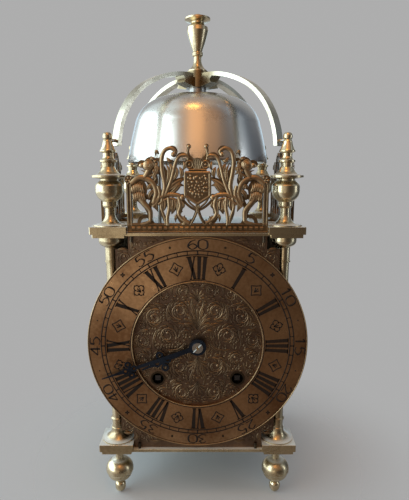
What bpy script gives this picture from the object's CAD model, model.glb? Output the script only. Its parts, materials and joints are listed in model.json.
# %% [markdown]
# # Dressing a lantern clock
#
# The construction of this clock is finished already: every plate, pillar, wheel and hand has its
# real size and its place. This notebook gives it its looks. It loads the finished parts, lights
# them, makes each metal, and then adds what an engraver and a chaser would add by hand: numerals,
# minute marks, scrolls and modelled leaves. The real clock stands about 38 cm high.

# %% Load the finished parts
import json
from math import atan2, cos, degrees, hypot, log, pi, radians, sin
from random import Random

import bmesh
import bpy
from mathutils import Matrix, Vector
from mathutils.kdtree import KDTree


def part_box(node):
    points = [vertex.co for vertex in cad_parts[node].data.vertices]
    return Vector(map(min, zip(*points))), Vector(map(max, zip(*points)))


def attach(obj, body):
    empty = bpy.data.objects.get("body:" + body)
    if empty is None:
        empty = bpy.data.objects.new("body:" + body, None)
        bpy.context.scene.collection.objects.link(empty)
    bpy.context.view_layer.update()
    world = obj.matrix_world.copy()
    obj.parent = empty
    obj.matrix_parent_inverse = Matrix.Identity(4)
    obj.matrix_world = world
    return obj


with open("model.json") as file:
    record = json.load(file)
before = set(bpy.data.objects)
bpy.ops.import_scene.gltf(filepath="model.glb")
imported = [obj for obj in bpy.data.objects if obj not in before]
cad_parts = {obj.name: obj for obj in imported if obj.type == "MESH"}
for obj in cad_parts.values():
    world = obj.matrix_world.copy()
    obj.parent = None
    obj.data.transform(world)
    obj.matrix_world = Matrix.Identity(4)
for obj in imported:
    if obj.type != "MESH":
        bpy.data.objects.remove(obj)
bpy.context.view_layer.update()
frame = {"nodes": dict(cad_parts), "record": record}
nodes = frame["nodes"]
MM = 0.001

# %% [markdown]
# ## Places that the rest is measured from
#
# Numerals and leaves have to lie on the faces that carry them. Their places could be typed in, but
# then they would hang in the air as soon as a part changes. A box round a finished part gives the
# depth of its face and the middle of a round one instead. The dial plate has a notch at each
# corner: its neck is the narrow part above and below its shoulders.

# %% Measure the dial and the frets
ring_low, ring_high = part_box("chapter_ring")
RING_FRONT = ring_low.y
RING_RADIUS = (ring_high.x - ring_low.x) / 2
RING_BORE = 48.9 * MM
DIAL_MIDDLE = (ring_low.z + ring_high.z) / 2
plate_low, plate_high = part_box("dial_plate")
DIAL_FACE = plate_low.y
plate_corners = [corner.co for corner in nodes["dial_plate"].data.vertices]
PLATE_HALF = (plate_high.x - plate_low.x) / 2
PLATE_NECK = max(co.x for co in plate_corners if co.z > plate_high.z - MM)
SHOULDER_HIGH = max(co.z for co in plate_corners if co.x > plate_high.x - MM)
SHOULDER_LOW = min(co.z for co in plate_corners if co.x > plate_high.x - MM)
PLATE_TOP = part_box("top_plate")[1].z
FRET_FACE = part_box("front_fret")[0].y
SIDE_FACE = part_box("right_fret")[1].x
print("dial middle at", round(DIAL_MIDDLE / MM, 1), "mm, ring radius", round(RING_RADIUS / MM, 1), "mm")

# %% [markdown]
# ## Camera
#
# The camera stands 40 cm in front of the clock, level with its upper half, and tips down a little,
# so the tops of the plates show and the upright lines close in towards the feet. It could be aimed
# at a point, but a tilt and a shifted lens can each be set without changing the other.

# %% Place the camera
def put(name, data):
    """Adds an object to the scene."""
    thing = bpy.data.objects.new(name, data)
    bpy.context.scene.collection.objects.link(thing)
    return thing


CAMERA_DISTANCE = 400.9 * MM
CAMERA_HEIGHT = 252.8 * MM
CAMERA_TILT = 0.206
camera_data = bpy.data.cameras.new("camera")
camera_data.lens = 33.14
camera_data.sensor_width = 36.0
camera_data.shift_x = 0.0144
camera_data.shift_y = 0.05
camera_data.clip_start = 0.01
camera = put("camera", camera_data)
camera.location = (-0.21 * MM, -CAMERA_DISTANCE, CAMERA_HEIGHT)
camera.rotation_euler = (pi / 2 - CAMERA_TILT, 0, 0)
bpy.context.scene.camera = camera
bpy.context.scene.view_settings.view_transform = "Standard"
print("the camera stands", CAMERA_DISTANCE, "m in front of the clock")

# %% [markdown]
# ## Light and stage
#
# Polished metal shows its surroundings more than its own colour. Point lamps would leave it black
# with a few white dots, so every light is a broad area light. A cool window on the left makes the
# bright edges, warm lamps stand above the viewer, and a narrow window on the right draws one thin
# line on each round piece. The floor and the wall behind are a plain pale grey.

# %% Set the lights
BACKGROUND = (0.42, 0.42, 0.42)
FLOOR_TONE = (0.48, 0.50, 0.52, 1)
CLOCK_MIDDLE = (0, 0, 0.2)
BELL_MIDDLE = (0, 0, 0.3)
# each light: its place, what it points at, its width and height, its power and its colour
LIGHTS = {
    "window": ((-1, -0.12, 0.5), CLOCK_MIDDLE, (1.8, 1), 12.5, (0.78, 0.95, 1)),
    "warm_wall": ((0.03, -0.42, 0.62), BELL_MIDDLE, (0.6, 0.5), 0.21, (1, 0.42, 0.13)),
    "warm_lamp": ((-0.02, -0.38, 0.56), BELL_MIDDLE, (0.2, 0.3), 0.13, (1, 0.46, 0.15)),
    "dial_glow": ((-0.115, -0.57, 0.085), (0, 0, 0.19), (0.09, 0.09), 0.03, (1, 0.85, 0.65)),
    "table_glow": ((-0.45, -0.45, 0.1), (0, 0, 0.03), (0.3, 0.16), 0.2, (0.72, 0.92, 1)),
    "ceiling_lamp": ((-0.08, -0.34, 1.2), BELL_MIDDLE, (0.2, 0.2), 0.9, (1, 0.45, 0.08)),
    "side_window": ((0.87, -0.23, 0.3), CLOCK_MIDDLE, (0.12, 0.5), 0.5, (0.85, 0.93, 1)),
    "back_window": ((0, 1.3, 0.42), (0, 0, 0.25), (1.6, 0.6), 2.6, (0.45, 0.75, 1)),
}
for name, (place, target, size, power, colour) in LIGHTS.items():
    data = bpy.data.lights.new(name, "AREA")
    data.shape = "RECTANGLE"
    data.size, data.size_y = size
    data.energy = power
    data.color = colour
    light = put(name, data)
    light.location = place
    light.visible_camera = False
    light.rotation_euler = (Vector(target) - Vector(place)).to_track_quat("-Z", "Y").to_euler()
print("lights:", ", ".join(LIGHTS))

# %% [markdown]
# A room could be built of walls, or come from a picture taken all round. Here it is only colours
# round the horizon, so each reflection can be planned: a direction of 0 degrees is the viewer's
# own, -90 is the left and 90 the right. Upright faces reflect the low tones. The bell's shoulder
# and the turned parts also reflect a warmer wall above the viewer. The wall behind the clock has
# the background's tone at every height.

# %% Paint the room that the metal reflects
PANE = (0.4, 0.45, 0.5)
RIGHT_WINDOW = [(72, PANE), (86, PANE), (98, (0.09, 0.1, 0.12)), (134, (0.08, 0.09, 0.11))]
LOW_TONES = [
    (-134, (0.82, 0.9, 0.96)), (-58, (0.8, 0.84, 0.88)), (-40, (0.66, 0.6, 0.53)),
    (-18, (0.56, 0.49, 0.41)), (-6, (0.32, 0.27, 0.22)), (6, (0.1, 0.082, 0.07)),
    (25, (0.045, 0.038, 0.034)), (62, (0.1, 0.095, 0.09)), *RIGHT_WINDOW,
]
HIGH_TONES = [
    (-134, (0.85, 0.96, 1.0)), (-66, (0.9, 1.0, 1.0)), (-46, (0.5, 0.43, 0.36)),
    (-24, (0.36, 0.29, 0.22)), (4, (0.32, 0.23, 0.16)), (26, (0.31, 0.22, 0.155)),
    (50, (0.25, 0.19, 0.15)), (64, (0.18, 0.17, 0.17)), (74, (0.42, 0.48, 0.54)),
    (88, (0.42, 0.48, 0.54)), (102, (0.1, 0.12, 0.15)),
]
FLOORWARD_TONES = [
    (-134, (0.82, 0.9, 0.96)), (-60, (0.8, 0.84, 0.88)), (-40, (0.34, 0.28, 0.235)),
    (-15, (0.19, 0.135, 0.095)), (4, (0.16, 0.11, 0.078)), (25, (0.1, 0.072, 0.052)),
    (62, (0.11, 0.095, 0.085)),
    *RIGHT_WINDOW,
]
CEILING = (0.56, 0.43, 0.33, 1)
# how far a direction points upwards where one set of tones starts to fade into the next, and ends
LOW_FADE = (-0.42, -0.16)
HIGH_FADE = (0.14, 0.5)
CEILING_FADE = (0.86, 0.99)


def feed(tree, node, inputs):
    """Sets each input of a node to a value, or links it to the socket that is given."""
    for name, value in inputs.items():
        if isinstance(value, bpy.types.NodeSocket):
            tree.links.new(value, node.inputs[name])
        else:
            node.inputs[name].default_value = value


def new_node(tree, kind, inputs, **settings):
    """Adds a node with its settings, and feeds it."""
    node = tree.nodes.new("ShaderNode" + kind)
    for name, value in settings.items():
        setattr(node, name, value)
    feed(tree, node, inputs)
    return node


def maths(tree, operation, *values):
    """The result of a sum on numbers or sockets."""
    return new_node(tree, "Math", dict(enumerate(values)), operation=operation).outputs[0]


def mixed(tree, share, first, second):
    """A colour that goes from the first to the second with a share from 0 to 1."""
    mix = new_node(tree, "Mix", {"Factor": share, "A": first, "B": second}, data_type="RGBA")
    return mix.outputs["Result"]


def faded(tree, value, low, high, fade="LINEAR"):
    """0 where the value is at the low end, 1 where it is at the high one."""
    inputs = {"Value": value, "From Min": low, "From Max": high}
    return new_node(tree, "MapRange", inputs, interpolation_type=fade).outputs[0]


def tone_ramp(tree, share, middle_tones):
    """The colour of a list of tones at a share of the way round the horizon."""
    ramp = new_node(tree, "ValToRGB", {"Fac": share})
    stops = ramp.color_ramp.elements
    behind = [(turn, BACKGROUND) for turn in (-180, -146, 146, 180)]
    for i, (turn, colour) in enumerate(behind[:2] + middle_tones + behind[2:]):
        stop = stops[i] if i < 2 else stops.new(0.999)
        stop.position = turn / 360 + 0.5
        stop.color = (*colour, 1)
    return ramp.outputs["Color"]


def pale_room():
    world = bpy.data.worlds.new("room")
    world.use_nodes = True
    tree = world.node_tree
    way = new_node(tree, "TexCoord", {}).outputs["Generated"]
    parts = new_node(tree, "SeparateXYZ", {0: way}).outputs
    bearing = maths(tree, "ARCTAN2", parts["X"], maths(tree, "MULTIPLY", parts["Y"], -1.0))
    share = faded(tree, bearing, -pi, pi)
    colour = tone_ramp(tree, share, FLOORWARD_TONES)
    for fade, tones in ((LOW_FADE, LOW_TONES), (HIGH_FADE, HIGH_TONES)):
        rising = faded(tree, parts["Z"], *fade, "SMOOTHSTEP")
        colour = mixed(tree, rising, colour, tone_ramp(tree, share, tones))
    colour = mixed(tree, faded(tree, parts["Z"], *CEILING_FADE, "SMOOTHSTEP"), colour, CEILING)
    tree.links.new(colour, tree.nodes["Background"].inputs["Color"])
    bpy.context.scene.world = world
    print("room tones:", len(LOW_TONES) + len(HIGH_TONES) + len(FLOORWARD_TONES))


pale_room()

# %% [markdown]
# The clock stands on a plain table, which keeps its shadow. A curved sheet of paper would hide the
# table's edge in a studio. Here the floor turns clear further out, so it has no edge to hide.

# %% Lay the floor
FLOOR_SIZE = 0.8
FLOOR_CLEAR_FROM = 0.03
FLOOR_CLEAR_AT = 0.24


def new_material(name):
    """A material, its node tree and its Principled shader."""
    material = bpy.data.materials.new(name)
    material.use_nodes = True
    return material, material.node_tree, material.node_tree.nodes["Principled BSDF"]


def mesh_data(name, mesh):
    """Turns a finished bmesh into mesh data."""
    data = bpy.data.meshes.new(name)
    mesh.to_mesh(data)
    mesh.free()
    return data


def floor_surface():
    material, tree, shader = new_material("floor")
    feed(tree, shader, {"Base Color": FLOOR_TONE, "Roughness": 0.9, "Specular IOR Level": 0.1})
    place = new_node(tree, "TexCoord", {}).outputs["Object"]
    away = new_node(tree, "VectorMath", {0: place}, operation="LENGTH").outputs["Value"]
    clearing = faded(tree, away, FLOOR_CLEAR_FROM, FLOOR_CLEAR_AT, "SMOOTHSTEP")
    clear = new_node(tree, "BsdfTransparent", {})
    mix = new_node(tree, "MixShader", {0: clearing, 1: shader.outputs[0], 2: clear.outputs[0]})
    feed(tree, tree.nodes["Material Output"], {"Surface": mix.outputs[0]})
    return material


floor_mesh = bmesh.new()
bmesh.ops.create_grid(floor_mesh, x_segments=1, y_segments=1, size=FLOOR_SIZE)
floor_data = mesh_data("floor", floor_mesh)
floor_data.materials.append(floor_surface())
floor = put("floor", floor_data)
print("the floor is clear from", FLOOR_CLEAR_AT, "m outwards")

# %% [markdown]
# ## Surfaces
#
# Old brass is never one colour. It is bright where hands and cloths reach it and brown where they
# don't. Such clouds could be painted on an unwrapped picture, but noise at a place in space needs
# no unwrapping and has no seams. It mixes a clean and a tarnished tone, and the same mask roughens
# the surface. The effects that several metals share are node groups, each built once.

# %% Build the shared effects
TARNISH_FULL = 0.85
FLECK_SHARE = 0.35
DUST_FADE = (0.78, 0.99)


def new_group(name, inputs, output):
    """A node group with one float output. Its inputs are floats, or vectors where no value is given."""
    group = bpy.data.node_groups.new(name, "ShaderNodeTree")
    for label, value in inputs.items():
        kind = "NodeSocketVector" if value is None else "NodeSocketFloat"
        socket = group.interface.new_socket(label, in_out="INPUT", socket_type=kind)
        if value is not None:
            socket.default_value = value
    group.interface.new_socket(output, in_out="OUTPUT", socket_type="NodeSocketFloat")
    return group, group.nodes.new("NodeGroupInput").outputs


def finished(group, result):
    """Ends a node group with the socket that is its result."""
    group.links.new(result, group.nodes.new("NodeGroupOutput").inputs[0])
    return group


def tarnish_group():
    """Clouds of tarnish with small flecks in them, from 0 for clean to 1 for brown."""
    sizes = {"Place": None, "Cloud Scale": 28.0, "Fleck Scale": 420.0, "Reach": 0.5}
    group, given = new_group("tarnish", sizes, "Mask")
    clouds, flecks = [
        new_node(group, "TexNoise", {"Vector": given["Place"], "Scale": given[scale], "Detail": detail})
        for scale, detail in (("Cloud Scale", 5.0), ("Fleck Scale", 3.0))
    ]
    blend = maths(group, "MULTIPLY_ADD", flecks.outputs["Fac"], FLECK_SHARE, clouds.outputs["Fac"])
    return finished(group, faded(group, blend, given["Reach"], TARNISH_FULL))


def lines_group():
    """Fine lines across one direction, as a lathe tool or a brush leaves them."""
    group, given = new_group("fine_lines", {"Along": 0.0, "Scale": 3000.0}, "Height")
    inputs = {"W": given["Along"], "Scale": given["Scale"], "Detail": 4.0, "Roughness": 0.75}
    noise = new_node(group, "TexNoise", inputs, noise_dimensions="1D")
    return finished(group, noise.outputs["Fac"])


def rubbed_group():
    """How far a spot stands out of its face: 0 in the recesses and 1 where hands and cloths rub."""
    group, given = new_group("rubbed", {"Place": 0.0, "Face": 0.05, "Depth": 0.001}, "Mask")
    outermost = maths(group, "ADD", given["Face"], given["Depth"])
    return finished(group, faded(group, maths(group, "ABSOLUTE", given["Place"]), given["Face"], outermost))


def dust_group():
    """Fine dust, which lies on what faces upwards: 0 on upright faces and 1 on level ones."""
    group, given = new_group("dust", {"Upwards": 0.0}, "Mask")
    return finished(group, faded(group, given["Upwards"], *DUST_FADE, "SMOOTHSTEP"))


TARNISH = tarnish_group()
FINE_LINES = lines_group()
RUBBED = rubbed_group()
DUST = dust_group()
print("shared effects:", len(bpy.data.node_groups))

# %% [markdown]
# ## Metals
#
# The clock has turned, cast, rolled and blued metals. They could each have nodes of their own,
# but they differ in little more than colour, so one recipe makes them all from a table. Each metal
# is one Principled shader. What is the same all over it is set on the shader itself, and only what
# changes over the surface comes through nodes. `lines` says where its tool marks lie: one after
# another along X or Z, or in rings round the dial's axis. `rubbed` darkens the recesses of a
# relief, and `dusty` dulls what faces upwards.

# %% Make the metals
DUST_TONE = (0.72, 0.73, 0.69)
DUST_ROUGHNESS = 0.5
DUST_METALLIC = 0.45
BUMP_STRENGTH = 0.5
# an axis: which parts of a place count for the distance from it, and what is added to them first
AXES = {"upright": ((1, 1, 0), (0, 0, 0)), "dial": ((1, 0, 1), (0, 0, -DIAL_MIDDLE))}


def reached(tree, place, way):
    """How far a place lies along X, Y or Z, or away from one of the two axes."""
    if way not in AXES:
        return new_node(tree, "SeparateXYZ", {0: place}).outputs[way]
    counted, added = AXES[way]
    flat = new_node(tree, "VectorMath", {0: place, 1: counted, 2: added}, operation="MULTIPLY_ADD")
    return new_node(tree, "VectorMath", {0: flat.outputs[0]}, operation="LENGTH").outputs["Value"]


def metal(
    name, clean, tarnished, smooth, dull, reach=0.5, cloud=28.0,
    lines=None, line_scale=3000.0, line_depth=0.02, metallic=1.0, rubbed=None, dusty=False,
):
    """A metal from its clean and tarnished colours and roughness, with its tool marks and wear."""
    material, tree, shader = new_material(name)

    def effect(group, inputs):
        return new_node(tree, "Group", inputs, node_tree=group).outputs[0]

    def between(share, low, high):
        inputs = {"Value": share, "To Min": low, "To Max": high}
        return new_node(tree, "MapRange", inputs).outputs[0]

    ways = new_node(tree, "TexCoord", {}).outputs
    place = ways["Object"]
    tarnish = effect(TARNISH, {"Cloud Scale": cloud, "Reach": reach, "Place": place})
    colour = mixed(tree, tarnish, (*clean, 1), (*tarnished, 1))
    roughness = between(tarnish, smooth, dull)
    if rubbed:
        recess, way, face, depth = rubbed
        wear = effect(RUBBED, {"Face": face, "Depth": depth, "Place": reached(tree, place, way)})
        colour = mixed(tree, wear, (*recess, 1), colour)
    if dusty:
        dust = effect(DUST, {"Upwards": reached(tree, ways["Normal"], "Z")})
        colour = mixed(tree, dust, colour, (*DUST_TONE, 1))
        roughness = between(dust, roughness, DUST_ROUGHNESS)
        metallic = between(dust, metallic, DUST_METALLIC)
    if lines:
        height = effect(FINE_LINES, {"Scale": line_scale, "Along": reached(tree, place, lines)})
    else:
        height = tarnish
    inputs = {"Strength": BUMP_STRENGTH, "Distance": line_depth * MM, "Height": height}
    bump = new_node(tree, "Bump", inputs).outputs[0]
    feed(tree, shader, {"Metallic": metallic, "Base Color": colour, "Roughness": roughness, "Normal": bump})
    return material


# how far the engraving and the relief stand out, in millimetres
ENGRAVED_HEIGHT = 0.6
RELIEF = 1.3
CHASED_GOLD = ((0.58, 0.42, 0.25), (0.31, 0.21, 0.12), 0.24, 0.4, 0.42, 60.0)
# each metal: its colours clean and tarnished, its roughness clean and tarnished, and then the reach
# and the scale of its clouds, where they aren't the usual ones
LOOKS = {
    "polished_brass": ((0.7, 0.59, 0.39), (0.41, 0.32, 0.19), 0.19, 0.33, 0.53),
    "fret_brass": ((0.3, 0.2, 0.11), (0.1, 0.065, 0.035), 0.28, 0.45, 0.42, 60.0),
    "ring_brass": ((0.6, 0.385, 0.215), (0.23, 0.12, 0.057), 0.24, 0.38, 0.42, 26.0),
    "dial_brass": ((0.25, 0.17, 0.115), (0.11, 0.07, 0.05), 0.32, 0.5, 0.4, 60.0),
    "movement_brass": ((0.62, 0.46, 0.24), (0.34, 0.23, 0.11), 0.3, 0.42, 0.5),
    "bell_metal": ((0.66, 0.65, 0.62), (0.58, 0.55, 0.51), 0.26, 0.3, 0.76, 16.0),
    "blued_steel": ((0.045, 0.068, 0.115), (0.02, 0.024, 0.036), 0.25, 0.4),
    "steel": ((0.5, 0.5, 0.49), (0.28, 0.27, 0.25), 0.25, 0.4),
    "spring_steel": ((0.2, 0.22, 0.27), (0.1, 0.1, 0.12), 0.25, 0.38),
    "dark_brass": ((0.1, 0.075, 0.05), (0.04, 0.03, 0.022), 0.3, 0.45),
    "dark_steel": ((0.11, 0.11, 0.12), (0.05, 0.05, 0.055), 0.25, 0.4),
    "edge_brass": ((0.64, 0.47, 0.27), (0.3, 0.19, 0.1), 0.3, 0.42, 0.42, 40.0),
    "strap_brass": ((0.8, 0.76, 0.62), (0.45, 0.41, 0.31), 0.22, 0.36, 0.55),
    "engraving_wax": ((0.024, 0.014, 0.009), (0.012, 0.008, 0.006), 0.5, 0.65),
    "foliage": ((0.42, 0.29, 0.165), (0.18, 0.12, 0.078), 0.28, 0.45, 0.45, 60.0),
    "front_chasing": CHASED_GOLD,
    "side_chasing": CHASED_GOLD,
}
# the colour of the recesses, and the way, face and depth of the relief
STRAP_WEAR = ((0.24, 0.19, 0.115), "upright", 17 * MM, 12 * MM)
DIAL_WEAR = ((0.065, 0.048, 0.037), "Y", -DIAL_FACE, ENGRAVED_HEIGHT * MM)
FRET_GRIME = (0.075, 0.045, 0.025)
MARKS = {
    "polished_brass": {"lines": "Z", "line_scale": 900.0, "line_depth": 0.01, "dusty": True},
    "ring_brass": {"lines": "dial", "line_scale": 2500.0},
    "dial_brass": {"line_depth": 0.25},
    "movement_brass": {"lines": "X", "line_scale": 4000.0},
    "bell_metal": {"lines": "Z", "line_scale": 1500.0, "line_depth": 0.04},
    "strap_brass": {"rubbed": STRAP_WEAR, "dusty": True},
    "engraving_wax": {"metallic": 0.0},
    "foliage": {"rubbed": DIAL_WEAR},
    "front_chasing": {"rubbed": (FRET_GRIME, "Y", -FRET_FACE, RELIEF * MM)},
    "side_chasing": {"rubbed": (FRET_GRIME, "X", SIDE_FACE, RELIEF * MM)},
}
METALS = {name: metal(name, *look, **MARKS.get(name, {})) for name, look in LOOKS.items()}
wax_shader = METALS["engraving_wax"].node_tree.nodes["Principled BSDF"]
wax_shader.inputs["Specular IOR Level"].default_value = 0.2
print("metals:", len(METALS))

# %% [markdown]
# A part gets the metal that its record names, so nobody has to list all the parts here. Only a few
# differ: the straps of the bell, the dark bushes and pins of the dial, and the winding squares.

# %% Give every part its metal
SPECIAL = {
    "bell_strap_cross": "strap_brass",
    "winding_bushes": "dark_brass",
    "dial_pins": "dark_brass",
    "going_arbor": "dark_steel",
    "strike_arbor": "dark_steel",
}
slot_of = {part["node"]: part["material_slot"] for part in frame["record"]["subparts"]}
for name, part in nodes.items():
    part.data.materials.clear()
    part.data.materials.append(METALS[SPECIAL.get(name) or slot_of[name]])
print("parts with a metal:", len(nodes))

# %% [markdown]
# ## Drawing on a flat face
#
# Stems, leaves and numerals could be sculpted or pushed up from a height picture. Here each is a
# stroke: a path that is drawn once, with a cross-section swept along it, so its edges stay crisp
# and it can be mirrored and used again. All of it is drawn flat first, in millimetres: x to the
# right, y upwards and z out of the face. `wall` then says where that face stands on the clock.

# %% Set up a flat face to draw on
# a stroke's cross-section for each shape, for a stroke two units wide, then how high it stands and
# how far it may be lifted before its foot leaves the face
SECTIONS = {
    "round": ([(-1, 0), (-0.8, 0.36), (-0.3, 0.58), (0.3, 0.58), (0.8, 0.36), (1, 0), (0, -0.5)], 0.58, 0.45),
    "creased": (
        [(-1, 0), (-0.7, 0.42), (-0.3, 0.6), (0, 0.22), (0.3, 0.6), (0.7, 0.42), (1, 0), (0, -0.5)], 0.6, 0.45
    ),
    "flat": ([(-1, -0.1), (-1, 0.04), (1, 0.04), (1, -0.1)], 0.04, 0.09),
}


def wall(origin, right, out):
    """Where flat work goes: its x along right, its y up and its z out of the wall."""
    turned = Matrix((Vector(right), Vector((0, 0, 1)), Vector(out))).transposed().to_4x4()
    return Matrix.Translation(origin) @ turned @ Matrix.Scale(MM, 4)


def add_piece(name, mesh, metal_name, body, placing):
    """Turns finished work into a piece that moves with a body of the clock."""
    bmesh.ops.transform(mesh, matrix=placing, verts=mesh.verts)
    bmesh.ops.recalc_face_normals(mesh, faces=mesh.faces)
    data = mesh_data(name, mesh)
    data.materials.append(METALS[metal_name])
    piece = put(name, data)
    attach(piece, body)
    print(name, "has", len(data.polygons), "faces")


def drawn_curve(name, lines, closed=False):
    """A curve object with one straight-jointed line for each list of (x, y, z, radius)."""
    data = bpy.data.curves.new(name, "CURVE")
    data.dimensions = "3D"
    for line in lines:
        spline = data.splines.new("POLY")
        spline.points.add(len(line) - 1)
        spline.use_cyclic_u = closed
        for point, (x, y, z, radius) in zip(spline.points, line):
            point.co = (x, y, z, 1)
            point.radius = radius
    return put(name, data)


def solid_strokes(strokes):
    """One mesh of all the strokes: each is its path with its cross-section swept along it."""
    mesh = bmesh.new()
    for shape, (corners, crest, lift) in SECTIONS.items():
        lines = []
        for kind, path, widths, heights in strokes:
            if kind == shape:
                line = []
                for spot, width, height in zip(path, widths, heights):
                    half = width / 2
                    x, y, ground = spot.to_3d()
                    line.append((x, y, ground + min(height - half * crest, half * lift), half))
                lines.append(line)
        if lines:
            section = drawn_curve(shape + "_section", [[(x, y, 0, 1) for x, y in corners]], True)
            swept = drawn_curve(shape + "_strokes", lines)
            swept.data.twist_mode = "Z_UP"
            swept.data.bevel_mode = "OBJECT"
            swept.data.bevel_object = section
            swept.data.use_fill_caps = True
            solid = swept.evaluated_get(bpy.context.evaluated_depsgraph_get()).to_mesh()
            mesh.from_mesh(solid)
            for drawn in (swept, section):
                bpy.data.curves.remove(drawn.data)
    return mesh


def flowing(points, steps=5):
    """A smooth path through a few points."""
    given = [Vector(point) for point in points]
    ends = [given[0] * 2 - given[1]] + given + [given[-1] * 2 - given[-2]]
    path = []
    for a, b, c, d in zip(ends, ends[1:], ends[2:], ends[3:]):
        for step in range(steps):
            t = step / steps
            bend = (2 * a - 5 * b + 4 * c - d) * t**2 + (3 * b - a - 3 * c + d) * t**3
            path.append((2 * b + (c - a) * t + bend) / 2)
    return path + [given[-1]]


def polar(centre, radius, angle):
    """The point at a distance and an angle, in degrees from x."""
    return Vector((centre[0] + radius * cos(radians(angle)), centre[1] + radius * sin(radians(angle))))


def circle(centre, radius, parts=24, start=0.0, sweep_angle=360.0):
    return [polar(centre, radius, start + sweep_angle * part / parts) for part in range(parts + 1)]


def stroke(work, path, width, height, end_width=None):
    """A stroke that keeps its width, or narrows steadily to end_width."""
    change = 0 if end_width is None else end_width - width
    widths = [width + change * i / (len(path) - 1) for i in range(len(path))]
    work.append(("round", path, widths, [height] * len(path)))


def leaf(work, points, width, height, shape="creased", widest=0.4, steps=5):
    """A stroke that swells from a thin root and ends in a point."""
    path = flowing(points, steps)
    power = log(0.5) / log(widest)
    swells = [max(sin(pi * (i / (len(path) - 1)) ** power), 0.08) for i in range(len(path))]
    work.append((shape, path, [width * s for s in swells], [height * (0.3 + 0.7 * s) for s in swells]))


def dome(work, centre, radius, height, turn=0.0, stretch=1.0):
    """A low dome, round or stretched along one direction: a stroke that swells as a ball does."""
    angles = [radians(180 * step / 8) for step in range(9)]
    path = [polar(centre, -radius * stretch * cos(angle), turn) for angle in angles]
    swells = [max(sin(angle), 0.06) for angle in angles]
    work.append(("round", path, [2 * radius * s for s in swells], [height * s for s in swells]))


def rosette(work, centre, radius, height, petals=6):
    """Petals round a knob."""
    for petal in range(petals):
        angle = 360 / petals * petal
        dome(work, polar(centre, radius * 0.62, angle), radius * 0.26, height * 0.8, angle, 1.45)
    dome(work, centre, radius * 0.3, height)


def spiral(centre, outer, inner, start, turn, parts=26):
    """A path that winds in towards its eye. A negative turn winds clockwise."""
    path = []
    for part in range(parts + 1):
        share = part / parts
        path.append(polar(centre, outer + (inner - outer) * share**0.85, start + turn * share))
    return path


def scroll(work, centre, radius, start, turn, height, leaves):
    """An acanthus scroll: a stem that winds to an eye, with leaves that follow it outside and inside."""
    hand = 1 if turn > 0 else -1
    path = spiral(centre, radius * 0.76, radius * 0.2, start, turn)
    stroke(work, path, radius * 0.17, height, radius * 0.09)
    dome(work, path[-1], radius * 0.16, height * 1.15)
    for i in range(leaves):
        angle = start + turn * 0.66 * i / leaves
        reach = radius * (1 - 0.055 * i)
        for length, width in ((1.0, 0.17), (0.84, 0.07)):
            spots = []
            for out, ahead in ((0.74, 0), (0.92 + 0.02 * length, 20), (1.06, 44), (1.05, 68)):
                spots.append(polar(centre, reach * (0.74 + (out - 0.74) * length), angle + hand * ahead))
            leaf(work, spots, radius * width, height * (0.9 if width > 0.1 else 1.05), steps=4)
        spots = ((0.66, 8), (0.5, 28), (0.42, 60))
        inside = [polar(centre, reach * near, angle + hand * ahead) for near, ahead in spots]
        leaf(work, inside, radius * 0.11, height * 0.8, "round", steps=4)


def palmette(work, root, reach, middle, spread, blades, height):
    """Blades that fan out from a root and curl over at their tips."""
    for blade in range(blades):
        share = 2 * blade / (blades - 1) - 1
        angle = middle - spread / 2 * share
        length = reach * (1 - 0.32 * share**2)
        bent = polar(root, length * 0.55, middle - spread * 0.32 * share)
        tip = polar(root, length, angle)
        curl = polar(tip, length * 0.16, angle - 95 * share)
        leaf(work, [root, bent, tip, curl], reach * 0.15, height, "creased", 0.6)


print("kinds of stroke:", ", ".join(SECTIONS))

# %% [markdown]
# ## Engraving on the chapter ring
#
# The marks on the ring are cut into the brass and filled with black wax. Real grooves would need
# hundreds of cuts in the ring and leave slivers, so only the wax is made, a hair above the metal.
# The feet of the numerals point to the middle, so the lower ones stand upside down, and every
# stroke lies along a ray, as an engraver's dividing plate sets them.

# %% Cut the numerals and the minute track
NUMERAL_FOOT = 51.0
NUMERAL_HEIGHT = 17.3
THICK_STROKE = 2.6
THIN_STROKE = 1.0
SERIF = 0.7
SERIF_REACH = 0.55
TRACK_INNER = 69.3
TRACK_OUTER = 72.2
WAX_HEIGHT = 0.04
TRACK_LINE = 0.9
MINUTE_LINES = (1.0, 0.65)
INNER_LINE = (50.3, 0.6)
OUTER_LINE = (RING_RADIUS / MM - 1.1, 0.4)
# each letter: its advance, then its strokes as (foot place, head place, stroke width)
LETTERS = {
    "I": (3.8, [(0, 0, THICK_STROKE)]),
    "V": (5.8, [(0.2, -1.8, THICK_STROKE), (0.2, 1.9, THIN_STROKE)]),
    "X": (6.0, [(1.8, -1.8, THICK_STROKE), (-1.8, 1.8, THIN_STROKE)]),
}
NUMERALS = ["XII", "I", "II", "III", "IIII", "V", "VI", "VII", "VIII", "IX", "X", "XI"]


def on_ring(clock_angle, aside, radius):
    """A point on the dial, from an angle clockwise from the top and a distance aside along the ring."""
    angle = radians(clock_angle) + aside / (NUMERAL_FOOT + NUMERAL_HEIGHT / 2)
    return Vector((radius * sin(angle), radius * cos(angle)))


def pen(work, path, thin, thick=None, upright=None):
    """A stroke of wax. With an upright direction, the pen is broad where it runs that way."""
    widths = []
    for i in range(len(path)):
        ahead = path[min(i + 1, len(path) - 1)] - path[max(i - 1, 0)]
        share = abs(ahead.normalized().dot(upright)) ** 2 if upright else 0
        widths.append(thin + ((thick or thin) - thin) * share)
    work.append(("flat", path, widths, [WAX_HEIGHT] * len(path)))


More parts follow.
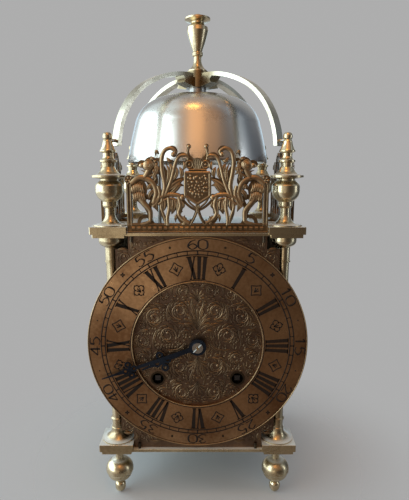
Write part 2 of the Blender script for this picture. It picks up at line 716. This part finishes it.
def numeral(mesh, work, clock_angle, letters):
    """The broad and thin bars of a numeral as flat faces in mesh, and its serifs as strokes in work."""
    advance = sum(LETTERS[letter][0] for letter in letters)
    at = -advance / 2
    head = NUMERAL_FOOT + NUMERAL_HEIGHT
    for letter in letters:
        width, bars = LETTERS[letter]
        middle = at + width / 2
        at += width
        for foot_place, head_place, thickness in bars:
            corners = [
                on_ring(clock_angle, middle + place + side * thickness / 2, radius)
                for place, radius, sides in ((foot_place, NUMERAL_FOOT, (-1, 1)), (head_place, head, (1, -1)))
                for side in sides
            ]
            mesh.faces.new([mesh.verts.new(corner.to_3d()) for corner in corners])
            reach = thickness / 2 + SERIF_REACH
            serifs = [(head_place, head - SERIF / 2)]
            if letter != "V":
                serifs.append((foot_place, NUMERAL_FOOT + SERIF / 2))
            for place, radius in serifs:
                ends = [on_ring(clock_angle, middle + place + side * reach, radius) for side in (-1, 1)]
                pen(work, ends, SERIF)


def raise_faces(mesh, height):
    """Gives flat faces their thickness."""
    raised = bmesh.ops.extrude_face_region(mesh, geom=mesh.faces[:], use_keep_orig=True)
    tops = [part for part in raised["geom"] if isinstance(part, bmesh.types.BMVert)]
    bmesh.ops.translate(mesh, verts=tops, vec=(0, 0, height))


def ring_line(work, radius, width):
    pen(work, circle((0, 0), radius, 240), width)


def minute_track(work):
    for radius in (TRACK_INNER, TRACK_OUTER):
        ring_line(work, radius, TRACK_LINE)
    for minute in range(60):
        ends = [on_ring(minute * 6, 0, radius) for radius in (TRACK_INNER, TRACK_OUTER)]
        pen(work, ends, MINUTE_LINES[minute % 5 > 0])


numeral_bars = bmesh.new()
engraving = []
for hour, letters in enumerate(NUMERALS):
    numeral(numeral_bars, engraving, hour * 30, letters)
raise_faces(numeral_bars, WAX_HEIGHT)
minute_track(engraving)
ring_line(engraving, *INNER_LINE)
ring_line(engraving, *OUTER_LINE)
dial_front = wall((0, RING_FRONT, DIAL_MIDDLE), (1, 0, 0), (0, -1, 0))
add_piece("hour_numerals", numeral_bars, "engraving_wax", "frame", dial_front)

# %% [markdown]
# The minutes are numbered in thin figures outside the track, and ornaments stand between the
# hours. A text object could write the numbers, but its letters don't bend with the ring. So each
# figure is a pen stroke on a box that is one unit high, broad where it runs outwards and thin
# across. Only the figures from 0 to 6 are needed.

# %% Write the minute numbers and the ornaments between the hours
FIGURE_FOOT = 73.3
FIGURE_HEIGHT = 7.2
FIGURE_WIDTH = 9.0
FIGURE_ADVANCE = 7.6
PEN_THIN = 0.65
PEN_THICK = 1.45
FIGURES = {
    "0": [
        [(0, 1), (-0.3, 0.86), (-0.38, 0.5), (-0.3, 0.14), (0, 0)]
        + [(0.3, 0.14), (0.38, 0.5), (0.3, 0.86), (0, 1)]
    ],
    "1": [[(-0.18, 0.8), (0.02, 1), (0.02, 0.5), (0.02, 0)]],
    "2": [
        [(-0.32, 0.76), (-0.02, 1), (0.3, 0.76), (0.1, 0.42), (-0.36, 0.04)],
        [(-0.36, 0.04), (0, 0.06), (0.36, 0.06)],
    ],
    "3": [
        [(-0.3, 0.9), (0, 1), (0.24, 0.78), (-0.08, 0.56)],
        [(-0.08, 0.56), (0.34, 0.3), (0.06, 0), (-0.32, 0.1)],
    ],
    "4": [[(0.16, 0), (0.16, 0.5), (0.16, 1)], [(0.16, 1), (-0.38, 0.3)], [(-0.38, 0.3), (0.38, 0.3)]],
    "5": [
        [(0.3, 1), (-0.2, 1)], [(-0.2, 1), (-0.26, 0.58)],
        [(-0.26, 0.58), (0.08, 0.66), (0.34, 0.36), (0.04, 0), (-0.32, 0.08)],
    ],
    "6": [[(0.26, 0.95), (-0.14, 0.78), (-0.34, 0.32), (0, 0), (0.36, 0.28), (0.06, 0.56), (-0.3, 0.38)]],
}
ORNAMENT_PLACE = 60.6
ORNAMENT_REACH = 5.2
ORNAMENT_LINE = 0.8
STAR_PLACE = 77.0


def minute_number(work, minute):
    text = str(minute)
    outwards = on_ring(minute * 6, 0, 1)
    onwards = Vector((outwards.y, -outwards.x))
    foot = outwards * FIGURE_FOOT
    for i, figure in enumerate(text):
        middle = (i - (len(text) - 1) / 2) * FIGURE_ADVANCE
        for points in FIGURES[figure]:
            spots = []
            for across, up in points:
                aside = middle + across * FIGURE_WIDTH
                # the line of figures bends with the ring
                spots.append(foot + onwards * aside + outwards * (up * FIGURE_HEIGHT - aside**2 / 150))
            pen(work, flowing(spots, 4) if len(spots) > 2 else spots, PEN_THIN, PEN_THICK, outwards)


def half_hour_ornament(work, hour):
    """A quatrefoil with points, or a lozenge with hollow sides, and a small leaf inside."""
    outwards = 90 - (hour * 30 + 15)
    centre = on_ring(hour * 30 + 15, 0, ORNAMENT_PLACE)
    for angle in range(outwards, outwards + 360, 90):
        if hour % 2:
            spots = ((ORNAMENT_REACH, angle), (3.3, angle + 45), (ORNAMENT_REACH, angle + 90))
            pen(work, flowing([polar(centre, *spot) for spot in spots], 4), ORNAMENT_LINE)
        else:
            pen(work, circle(polar(centre, 2.2, angle), 2.1, 12, angle - 115, 230), ORNAMENT_LINE)
            pen(work, [polar(centre, reach, angle) for reach in (4.1, ORNAMENT_REACH)], ORNAMENT_LINE)
    for side in (-1, 0, 1):
        spots = ((1.9, outwards + 180), (2.0, outwards + 55 * side))
        pen(work, [polar(centre, *spot) for spot in spots], ORNAMENT_LINE)


def small_rosette(work, clock_angle):
    centre = on_ring(clock_angle, 0, STAR_PLACE)
    for petal in range(4):
        turn = 90 * petal + 45 - clock_angle
        pen(work, [polar(centre, reach, turn) for reach in (0.2, 1.0, 1.7)], 1.15)


for minute in range(5, 65, 5):
    minute_number(engraving, minute)
    half_hour_ornament(engraving, minute // 5)
    if minute in (5, 20, 35, 50):
        small_rosette(engraving, minute * 6 + 15)
    elif minute not in (25, 30):
        spot = on_ring(minute * 6 + 15, 0, STAR_PLACE)
        pen(engraving, [spot + Vector((0, 0.5)), spot - Vector((0, 0.5))], 1.0)
add_piece("ring_engraving", solid_strokes(engraving), "engraving_wax", "frame", dial_front)

# %% [markdown]
# The ring was turned on a lathe, which left a thin rounded edge inside and outside. Cloths rub it,
# so it is a little brighter than the ring. A torus would do, but a stroke round a circle makes the
# same bead with the tools at hand.

# %% Turn the ring's edges
EDGE_WIDTH = 0.8
EDGE_HEIGHT = 0.4
ring_edges = []
for radius in (RING_RADIUS / MM - EDGE_WIDTH / 2, RING_BORE / MM + EDGE_WIDTH / 2):
    stroke(ring_edges, circle((0, 0), radius, 240), EDGE_WIDTH, EDGE_HEIGHT)
add_piece("ring_edges", solid_strokes(ring_edges), "edge_brass", "frame", dial_front)

# %% [markdown]
# ## Engraving in the middle of the dial
#
# Scrolls of acanthus fill the dial inside the ring and the corners outside it. Their lines could
# be a bump in the material, but real leaves catch the light from any side. Each scroll is drawn
# once and mirrored, as on the clock. Then small leaves fill what is left bare, at places that a
# seeded chance moves a little. The ground between the leaves stays dark.

# %% Fill the dial with scrolls
# right-hand scrolls of the dial centre: centre, radius, starting angle and turn
CENTRE_SCROLLS = [
    ((13.2, 26.6), 8.8, 262, 470), ((32.4, 21.6), 9.2, 120, -450), ((22.6, 7.6), 9.4, 205, -470),
    ((41.2, 3.6), 6.6, 60, -430), ((10.2, 42.2), 5.4, 300, 430), ((24.4, 39.8), 6.4, 130, -420),
    ((13.6, -17), 9, 110, -460), ((11.8, -38.2), 8, 90, -450), ((41.4, -10.2), 5.6, 150, -430),
    ((28.6, -11), 6.2, 30, 430), ((27, -38.6), 5.6, 120, -420), ((42.2, 15), 4.2, 20, 420),
    ((40.8, -22.4), 4.4, 300, -400), ((37.2, 33.2), 3.6, 200, 400), ((4.6, -6), 3, 100, 380),
    ((23.4, -25.4), 3.6, 80, 400),
]
# stems and loose leaves that fill the gaps between the scrolls
CENTRE_LEAVES = [
    [(3, 8), (8, 11), (12.6, 9.5), (14, 4.5)], [(2, 12), (7, 15), (12, 16.2), (19, 17.6)],
    [(3.4, 17), (2.2, 24.5), (4.4, 31.5), (3.4, 37)], [(1.4, 15), (5.6, 20), (5.2, 25)],
    [(22, 17.6), (22.6, 25), (20.6, 31.5), (15.8, 35.4)],
    [(22.4, 29), (27, 31), (32, 32.6), (34, 36.4)],
    [(30.4, 12.4), (32, 7.6), (33.2, 1.6), (31.4, -3.6)], [(36, 11.6), (40.4, 11.4), (46, 9.6)],
    [(9, 2.4), (13.2, -3), (20, -4.6), (25.4, -3.2)], [(7, -1), (6.6, -9), (4, -15)],
    [(3.2, -12), (3.2, -20), (5.6, -28), (3.4, -34)], [(22.4, -14.6), (23.6, -19.6), (21, -22.6)],
    [(15.6, -27.4), (20, -30), (21, -34)], [(34.6, -13.6), (36.4, -18), (36, -20.6)],
    [(34.6, -4.4), (37.4, -3.8), (43.6, -3.6)], [(45.4, -15.6), (46.6, -10.4), (47.2, -4.4)],
    [(2.4, 44.4), (6, 47.4), (13.6, 47.4)], [(16, 46.4), (19, 44), (19, 38.4)],
    [(30.2, 43), (32.4, 39.4), (37, 37.4)], [(40.6, 29.6), (41.6, 25.4), (46, 20.4)],
    [(20, -45.2), (24, -45.4), (29.4, -43.4)], [(3.4, -46.6), (7, -47.2), (13, -47.6)],
    [(33.6, -34.4), (34.6, -38), (32, -40.4)],
]
CENTRE_ROSETTES = [(47.4, -1.6), (18.6, -31.8), (21.2, 20.6)]
# palmettes on the middle line: root, reach, direction, spread and number of blades
PALMETTES = [
    ((0, 11.5), 15, 90, 120, 9), ((0, 33), 9.5, 90, 110, 7), ((0, -9), 13, 270, 110, 9),
    ((0, -29), 11, 270, 100, 7),
]
CORNER_SCROLLS = [((53.4, 67), 5.4, 200, -440), ((43, 76.2), 3.8, 330, 420)]
CORNER_LEAVES = [
    [(57.5, 50), (58.2, 56), (57, 61)], [(28, 79), (33, 80.2), (38, 79)],
    [(58.2, 72.4), (54, 73.2), (50, 72.2)], [(49, 79.6), (47.4, 76), (48.6, 72)],
]


def mirrored(points, across, upward=1):
    return [(across * x, upward * y) for x, y in points]


GAP_STEP = 2.1
GAP_CLEARANCE = 1.35
GAP_JITTER = 0.5
GAP_SWING = 35
GAP_LEAF_REACH = 1.9
GAP_LEAF_WIDTH = 1.5
HUB_REACH = 8.0
WINDING_REACH = 7.0
PLATE_MARGIN = 2 * MM
RING_SPAN = (RING_BORE / MM - 1.5, RING_RADIUS / MM + 1)
WINDING_HOLES = []
for name in ("going_arbor", "strike_arbor"):
    hole = sum(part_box(name), Vector()) / 2
    WINDING_HOLES.append((hole.x / MM, (hole.z - DIAL_MIDDLE) / MM))


def bare_ground(x, y):
    """Whether a spot belongs to the dial plate and not to the ring, the hands' hub or a winding hole."""
    away = hypot(x, y)
    height = y * MM + DIAL_MIDDLE
    between = SHOULDER_LOW + PLATE_MARGIN < height < SHOULDER_HIGH - PLATE_MARGIN
    return (
        away >= HUB_REACH
        and not RING_SPAN[0] < away < RING_SPAN[1]
        and abs(x) * MM <= (PLATE_HALF if between else PLATE_NECK) - PLATE_MARGIN
        and plate_low.z + PLATE_MARGIN < height < plate_high.z - PLATE_MARGIN
        and all(hypot(x - across, y - up) > WINDING_REACH for across, up in WINDING_HOLES)
    )


def fill_gaps(work):
    """Small curled leaves on every bare spot that is left between the scrolls."""
    spots = [spot for _, path, _, _ in work for spot in path]
    tree = KDTree(len(spots))
    for i, spot in enumerate(spots):
        tree.insert(spot.to_3d(), i)
    tree.balance()
    chance = Random(5)
    added = []
    rows = int(80 / GAP_STEP)
    for row in range(-rows, rows + 1):
        for column in range(-28, 29):
            x = column * GAP_STEP + chance.uniform(-GAP_JITTER, GAP_JITTER)
            y = row * GAP_STEP + chance.uniform(-GAP_JITTER, GAP_JITTER)
            turn = chance.uniform(-GAP_SWING, GAP_SWING)
            taken = tree.find((x, y, 0))[2] < GAP_CLEARANCE or not bare_ground(x, y)
            if taken or any(hypot(x - a, y - b) < GAP_STEP * 0.85 for a, b in added):
                continue
            added.append((x, y))
            angle = degrees(atan2(y, x)) + 65 + turn
            root, tip = [polar((x, y), GAP_LEAF_REACH, angle + bend) for bend in (180, 40)]
            leaf(work, [root, (x, y), tip], GAP_LEAF_WIDTH, ENGRAVED_HEIGHT * 0.85, steps=4)
    print("small leaves in the gaps:", len(added))


def mirrored_scrolls(work, scrolls, across, upward, leaves):
    for (x, y), radius, start, turn in scrolls:
        turned_start = degrees(atan2(upward * sin(radians(start)), across * cos(radians(start))))
        turn *= across * upward
        scroll(work, (across * x, upward * y), radius, turned_start, turn, ENGRAVED_HEIGHT, leaves)


foliage = []
for side in (-1, 1):
    mirrored_scrolls(foliage, CENTRE_SCROLLS, side, 1, 9)
    for points in CENTRE_LEAVES:
        leaf(foliage, mirrored(points, side), 2.7, ENGRAVED_HEIGHT)
    for spot in mirrored(CENTRE_ROSETTES, side):
        rosette(foliage, spot, 1.8, ENGRAVED_HEIGHT)
for fan in PALMETTES:
    palmette(foliage, *fan, ENGRAVED_HEIGHT)
for across in (-1, 1):
    for upward in (-1, 1):
        mirrored_scrolls(foliage, CORNER_SCROLLS, across, upward, 5)
        for points in CORNER_LEAVES:
            leaf(foliage, mirrored(points, across, upward), 2.6, ENGRAVED_HEIGHT)
fill_gaps(foliage)
engraved_face = wall((0, DIAL_FACE, DIAL_MIDDLE), (1, 0, 0), (0, -1, 0))
add_piece("dial_foliage", solid_strokes(foliage), "foliage", "frame", engraved_face)

# %% [markdown]
# ## Relief on the frets
#
# The frets were cast and then chased by hand, so nothing on them is flat. Stems stand up round,
# leaves have a sunk rib, the beasts have modelled coats and the shield has a raised rim. A sculpted
# mesh could show this too, but strokes lie exactly on the pierced bars and stay light. The relief
# is drawn once for the right half, mirrored, and laid on the front and side frets.

# %% Chase the frets
RAIL_RELIEF = 1.0
POST_LINES = (46.9, 49.2)
RAIL_LINES = (0.8, 6.1)
DENTIL_PITCH = 3.8
DENTIL_ROW = 96
DENTIL_LEVEL = 3.4
DENTIL_HALF = 1.1
DENTIL_TALL = 2.9
RAIL_END = 50.0
FIELD_HEIGHT = 0.6
FIELD_ROOT = 0.2
FIELD_MIDDLE = 32
FIELD_SHARE = 0.92
SHIELD = [(-8.6, 42.1), (8.6, 42.1), (8.6, 26.0), (0, 20.6), (-8.6, 26.0), (-8.6, 42.1)]
# stems: the points that one runs through, its width at the start and at the end
FRET_STEMS = [
    ([(24.4, 25.6), (22.9, 33), (24.4, 42), (25, 50), (23.2, 56.4), (19, 58.6)]
     + [(15.6, 56.6), (16.4, 53.8)], 3.6, 2.4),
    ([(22.4, 27), (18.4, 37), (15.6, 47.6), (12.8, 53), (8.4, 53.8), (6.4, 52.4)], 3, 2),
    ([(6.6, 50.8), (7, 54.6), (6, 58.8)], 1.8, 1.5),
    ([(31.6, 20.6), (27, 24.6), (20.4, 27), (14, 26.6), (10.6, 24.8)], 4, 3),
    ([(27.6, 20), (22.4, 23.6), (17, 24), (13.4, 22)], 2.4, 1.8),
    ([(13.4, 25.6), (12, 19.6), (13.4, 14), (10.6, 9.6), (6, 7.2)], 3.2, 2.4),
    ([(20.4, 25), (20, 18), (21.4, 11), (21.2, 5.6)], 3, 2.4),
    ([(24.6, 25.6), (25.6, 18), (23.4, 11), (22.6, 5.8)], 2.4, 1.8),
    ([(0.9, 20), (0.4, 15.8), (2.2, 10.8), (5, 5.8)], 1.5, 1.5),
    ([(8.2, 26), (5.6, 21.4), (1.4, 17.8), (-0.4, 15.2)], 1.5, 1.3),
    ([(46.6, 34.4), (41, 38.6), (35, 37.6), (31, 34.4), (29, 28.6), (30.6, 22)], 4.6, 4),
    ([(33.6, 39.4), (30.4, 40.8), (29.2, 37.8), (31.2, 35.6)], 1.9, 1.6),
    ([(41.6, 26.6), (37.6, 20.6), (33.6, 15.6), (33.4, 8.4)], 5.2, 2.8),
    ([(33.2, 8.6), (36, 7.2), (40.6, 6.2)], 3, 2),
    ([(27.6, 33), (26.4, 27.6), (28.6, 21.6), (31.6, 18.4)], 3.2, 2.6),
    ([(37.6, 37.6), (35.4, 41), (33.6, 44.6)], 4.6, 4.4),
]
# leaves: the points of each, and its greatest width
FRET_LEAVES = [
    ([(22.6, 28.4), (18, 32.4), (13.4, 35.8), (8.8, 38.2)], 4.8),
    ([(20.8, 27.4), (16.2, 30), (12.6, 33.6), (9.2, 33)], 3.6),
    ([(23, 33), (20.4, 38), (20, 43.6), (22.4, 49)], 2.8),
    ([(18.8, 36), (15.4, 39.4), (14.2, 43.4), (15.2, 46.6)], 2.8),
    ([(26, 40.6), (28.2, 43), (28.4, 47), (27.6, 50)], 2.8),
    ([(24.8, 44.4), (28.4, 45.2), (31.4, 48.8)], 3), ([(13.6, 24.2), (10, 20), (11.2, 16.6)], 2.4),
    ([(23.8, 26.4), (28.4, 27.4), (31.4, 31.2)], 3), ([(20.2, 21.4), (17.8, 17.4), (18.6, 13.2)], 2.4),
    ([(12.8, 14.8), (15.4, 11.4), (15.6, 7.6)], 2.4), ([(8.6, 9.4), (9.4, 6.8), (12.6, 6)], 2.4),
    ([(36, 7.6), (37.4, 6), (40.2, 5.6)], 1.6), ([(44.6, 34.6), (45.6, 30.4), (44.6, 26)], 2.6),
    ([(42.6, 40), (43.6, 36.8), (46.2, 36.2)], 2), ([(25, 26), (23.6, 20.5), (24.6, 14.5)], 4.6),
    ([(21.5, 26), (19.4, 20), (20.4, 13)], 5), ([(17.6, 25.6), (16.4, 19.5), (17.8, 13.5)], 4.8),
    ([(14, 24), (13.2, 18), (14.8, 12.5)], 4.4), ([(28, 25.6), (29.6, 20), (28, 15)], 3.8),
    ([(11.6, 12), (9, 9), (8.4, 6.2)], 3.6), ([(27.4, 44.6), (30, 40.6), (31, 36)], 3.2),
    ([(19.6, 48.6), (17.6, 44), (18.6, 39)], 3.6), ([(12.6, 46), (11, 42), (12, 37.6)], 3.4),
    ([(10, 50), (9, 46.4), (10.4, 43.4)], 2.6), ([(21.6, 52.6), (19.4, 50), (16.8, 50.4)], 2.8),
    ([(26.4, 54.6), (28.6, 56.4), (29, 53.2)], 2.4), ([(29.6, 30.6), (33, 27.6), (34.6, 23)], 3.6),
    ([(36, 30), (33.2, 33), (32, 29.4)], 3.4),
]
# knobs: place, radius and how far each stands above the leaves
FRET_KNOBS = [(6, 59.6, 1.5, 0), (16.8, 54.4, 1.7, 0.5), (10.8, 25, 2.2, 0.3)]
# rosettes: place, radius, height and number of petals
FRET_ROSETTES = [(47.4, 36.6, 3.3, 1.5, 6)]
FRET_ROSETTES += [(x, y, 2.1, 1.4, 5) for x, y in ((12.6, 15.2), (9.8, 10.6), (5.6, 8))]
# the coats of the beasts: locks of hair that hang side by side
COAT_TOP = (38.4, 36.0)
COAT_LOCKS = 5
COAT_STEP = 1.55
HEAD = (34.2, 47.2)


def raised_leaf(work, points, width, height=RELIEF):
    leaf(work, points, width, height, "creased", 0.45)


def raised_stem(work, points, width, end_width, height=RELIEF):
    stroke(work, flowing(points), width, height, end_width)


def beast(work, side):
    """A beast's coat in locks, its mane, head, ear and jaw."""
    for row, length in ((0, 7.4), (1, 7.8)):
        for lock in range(COAT_LOCKS):
            x = COAT_TOP[0] + COAT_STEP * lock - 0.9 * row
            y = COAT_TOP[1] - 5.6 * row - 0.3 * (lock - 2) ** 2
            bends = ((0, 0), (0.7, 0.45), (-0.2, 0.8), (0.5, 1))
            points = [(x + aside, y - length * down) for aside, down in bends]
            raised_leaf(work, mirrored(points, side), 3.0, RELIEF + 0.5 - 0.2 * row)
    head = (side * HEAD[0], HEAD[1])
    dome(work, head, 3.9, RELIEF + 1.2, -side * 20, 1.15)
    dome(work, (side * (HEAD[0] + 4.4), HEAD[1] - 0.2), 1.7, RELIEF + 0.6, -side * 10, 1.35)
    dome(work, (side * (HEAD[0] + 1.6), HEAD[1] + 1.3), 0.75, RELIEF + 1.7)
    for curl, start, raised in ((3.3, 70, 1.5), (2.3, 95, 2.1), (1.3, 120, 2.5)):
        turned_start = start if side > 0 else 180 - start
        lock = circle(head, curl, 14, turned_start, side * 200)
        stroke(work, [Vector((spot.x, spot.y, raised)) for spot in lock], 0.9, 0.6, 0.5)
    raised_leaf(work, mirrored([(33.0, 49.6), (31.6, 51.8), (32.8, 53.4)], side), 2.2)
    raised_leaf(work, mirrored([(31.4, 44.0), (35.0, 42.6), (39.6, 43.8)], side), 2.0)
    for lock in range(5):
        spots = ((3.6, 118 + 24 * lock), (5.6, 128 + 25 * lock), (6.6, 142 + 25 * lock))
        raised_leaf(work, mirrored([polar(HEAD, *spot) for spot in spots], side), 2.4)


def crown(work):
    """A crown of ribs between two rings, on a band."""
    for rib in range(-2, 3):
        points = [(rib * 0.9, 44.6), (rib * 1.5, 48.6), (rib * 0.9, 51.6)]
        raised_stem(work, points, 1.5, 0.9, RELIEF + 0.5 - 0.12 * rib**2)
    for side in (-1, 1):
        raised_stem(work, circle((side * 5.6, 47.6), 2.4, 16), 1.5, 1.5)
        dome(work, (side * 5.6, 47.6), 0.9, RELIEF)
    raised_stem(work, [(-6.4, 43.9), (0, 44.1), (6.4, 43.9)], 1.5, 1.5)
    for bead in range(-3, 4):
        dome(work, (bead * 1.8, 43.9), 0.6, RELIEF + 0.5)


def shield(work):
    """A raised rim that runs down into two crossed ribbons, and a field matted with a punch."""
    for start, end in zip(SHIELD, SHIELD[1:]):
        stroke(work, [Vector(start), Vector(end)], 2.1, RELIEF + 0.2)
    chance = Random(3)
    punched = []
    for _ in range(700):
        spot = Vector((chance.uniform(-6.9, 6.9), chance.uniform(24.2, 40.2)))
        reach = chance.uniform(0.55, 1.0)
        if spot.y < 24.2 + 0.6 * abs(spot.x) or any((spot - other).length < 1.75 for other in punched):
            continue
        punched.append(spot)
        knob = []
        dome(knob, spot, reach, 1.35, chance.uniform(0, 180), 1.5)
        for shape, path, widths, heights in knob:
            work.append((shape, [Vector((at.x, at.y, FIELD_HEIGHT - 0.1)) for at in path], widths, heights))


def shield_field():
    """The raised ground inside the rim, which the knobs stand on."""
    ground = bmesh.new()
    corners = [(x * FIELD_SHARE, FIELD_MIDDLE + (y - FIELD_MIDDLE) * FIELD_SHARE) for x, y in SHIELD[:-1]]
    ground.faces.new([ground.verts.new((x, y, -FIELD_ROOT)) for x, y in corners])
    raise_faces(ground, FIELD_HEIGHT + FIELD_ROOT)
    return mesh_data("field", ground)


def fret_relief():
    work = []
    for side in (-1, 1):
        for points, width, end_width in FRET_STEMS:
            raised_stem(work, mirrored(points, side), width, end_width)
        for points, width in FRET_LEAVES:
            raised_leaf(work, mirrored(points, side), width)
        beast(work, side)
        for x in POST_LINES:
            raised_stem(work, [(side * x, y) for y in (5.4, 20, 34.6)], 1.3, 1.3, RAIL_RELIEF)
        for x, y, radius, raised in FRET_KNOBS:
            dome(work, (side * x, y), radius, RELIEF + raised)
        for x, y, *form in FRET_ROSETTES:
            rosette(work, (side * x, y), *form)
    crown(work)
    shield(work)
    for y in RAIL_LINES:
        raised_stem(work, [(x, y) for x in (-RAIL_END, 0, RAIL_END)], 1.2, 1.2, RAIL_RELIEF)
    dentils = int(DENTIL_ROW / DENTIL_PITCH)
    for i in range(dentils):
        x = (i - (dentils - 1) / 2) * DENTIL_PITCH
        ends = [Vector((x + reach, DENTIL_LEVEL)) for reach in (-DENTIL_HALF, DENTIL_HALF)]
        stroke(work, ends, DENTIL_TALL, RELIEF * 0.7)
    return work


for fret, right, out, chasing in (
    ("front_fret", (1, 0, 0), (0, -1, 0), "front_chasing"),
    ("left_fret", (0, -1, 0), (-1, 0, 0), "side_chasing"),
    ("right_fret", (0, 1, 0), (1, 0, 0), "side_chasing"),
):
    low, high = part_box(fret)
    face = (low + high) / 2 + (high - low) / 2 * Vector(out)
    face.z = PLATE_TOP
    relief = solid_strokes(fret_relief())
    relief.from_mesh(shield_field())
    add_piece(fret + "_relief", relief, chasing, "frame", wall(face, right, out))

# %% [markdown]
# ## Eased edges
#
# No filed edge is perfectly sharp, and a small round on it catches a line of light. A bevel node
# in the metal could fake it, but a modifier gives the edge a real round. The finished parts are
# loose triangles, so they are welded first, and then a bevel eases the sharp edges only.

# %% Ease the edges of the plates and blocks
WELD_REACH = 0.01
EASED = {"top_plate": 0.35, "bottom_plate": 0.35, "top_corner_blocks": 0.5, "bottom_corner_blocks": 0.5}
for name, width in EASED.items():
    weld = nodes[name].modifiers.new("weld", "WELD")
    weld.merge_threshold = WELD_REACH * MM
    ease = nodes[name].modifiers.new("ease", "BEVEL")
    ease.width = width * MM
    ease.segments = 2
    ease.limit_method = "ANGLE"
    ease.angle_limit = radians(40)
print("eased:", ", ".join(EASED))
